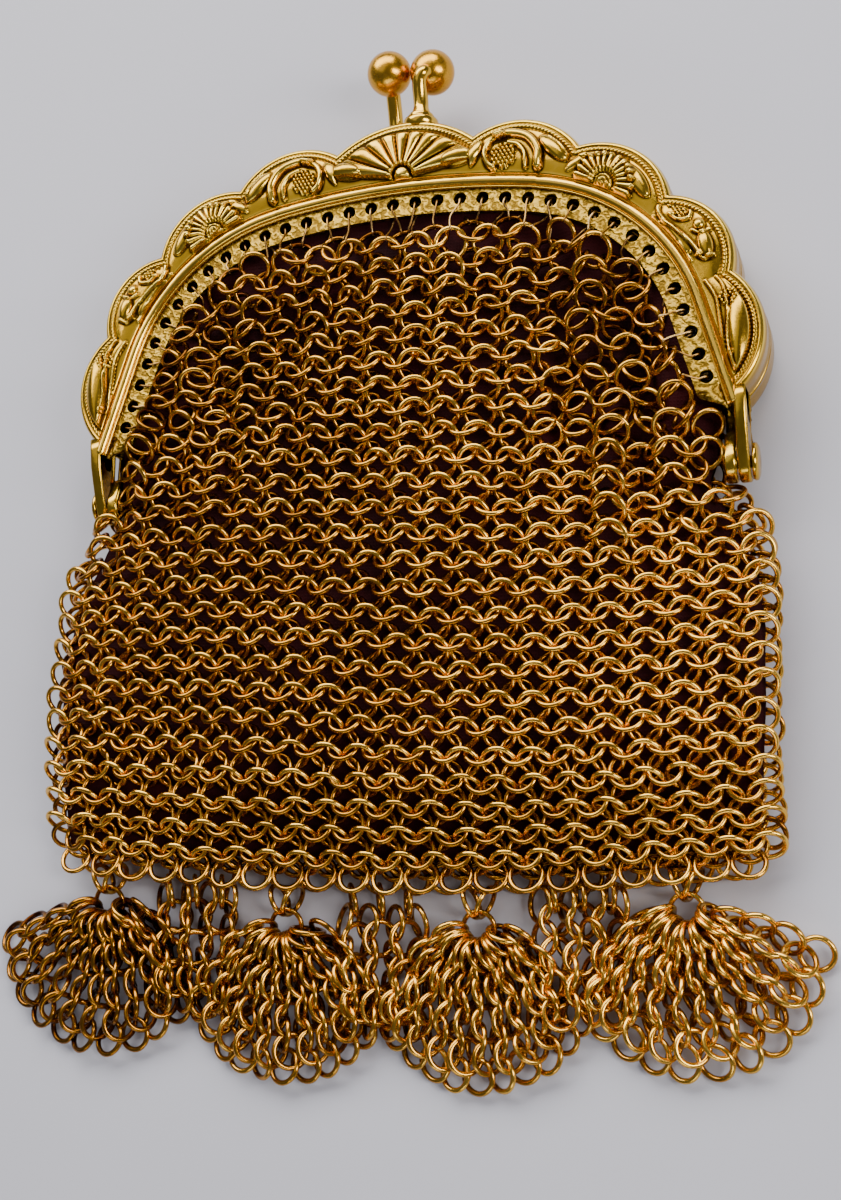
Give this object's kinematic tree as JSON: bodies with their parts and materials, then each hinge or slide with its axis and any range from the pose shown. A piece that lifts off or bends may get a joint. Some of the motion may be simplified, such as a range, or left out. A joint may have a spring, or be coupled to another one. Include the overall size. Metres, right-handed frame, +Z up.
{
  "type": "evening bag",
  "caption": "Small ring-mesh evening bag with an arched scalloped gilt frame, twin-ball clasp, riveted hinges, a dark cloth lining and a hanging mesh fringe.",
  "frame": {"origin": "on the rest plane under the middle of the hinge line, the bag lying on its back", "axes": "+X to the right along the hinge line, +Y from the hinge line towards the clasp, +Z up out of the front face"},
  "size_m": [0.087, 0.108, 0.0096],
  "materials": {
    "gilt_frame": "polished, embossed",
    "gilt_polished": "polished",
    "gilt_matt": "satin",
    "sewing_wire": "satin",
    "mesh_bronze": "polished wire rings",
    "mesh_dark": "polished wire rings, toned darker",
    "lining_cloth": "dark maroon, soft sheen"
  },
  "bodies": {
    "back_half": {"back_frame": "gilt_frame", "back_rib": "gilt_polished", "back_sewing_strip": "gilt_matt", "back_collar": "gilt_frame", "back_post": "gilt_polished", "back_ball": "gilt_polished", "back_sewing_wires": "sewing_wire", "mesh_bag": "mesh_bronze", "lining": "lining_cloth", "left_rivet": "gilt_frame", "right_rivet": "gilt_frame"},
    "front_half": {"front_frame": "gilt_frame", "front_rib": "gilt_polished", "front_sewing_strip": "gilt_matt", "front_collar": "gilt_frame", "front_post": "gilt_polished", "front_ball": "gilt_polished", "front_sewing_wires": "sewing_wire", "front_mesh": "mesh_bronze", "front_lining": "lining_cloth"},
    "fringe": {"link_rings": "mesh_bronze", "hub_rings": "mesh_bronze", "fan_1": "mesh_dark", "fan_2": "mesh_bronze", "fan_3": "mesh_bronze", "fan_4": "mesh_bronze", "web_1": "mesh_dark", "web_2": "mesh_bronze", "web_3": "mesh_bronze"}
  },
  "joints": [
    {"name": "frame_hinge", "type": "hinge", "parent": "back_half", "child": "front_half", "pos_m": [0, 0, 0.0048], "axis": [1, 0, 0], "range_deg": [0, 100]},
    {"name": "fringe_swing", "type": "hinge", "parent": "back_half", "child": "fringe", "pos_m": [0, -0.0405, 0.0016], "axis": [-1, 0, 0], "range_deg": [0, 90]}
  ]
}
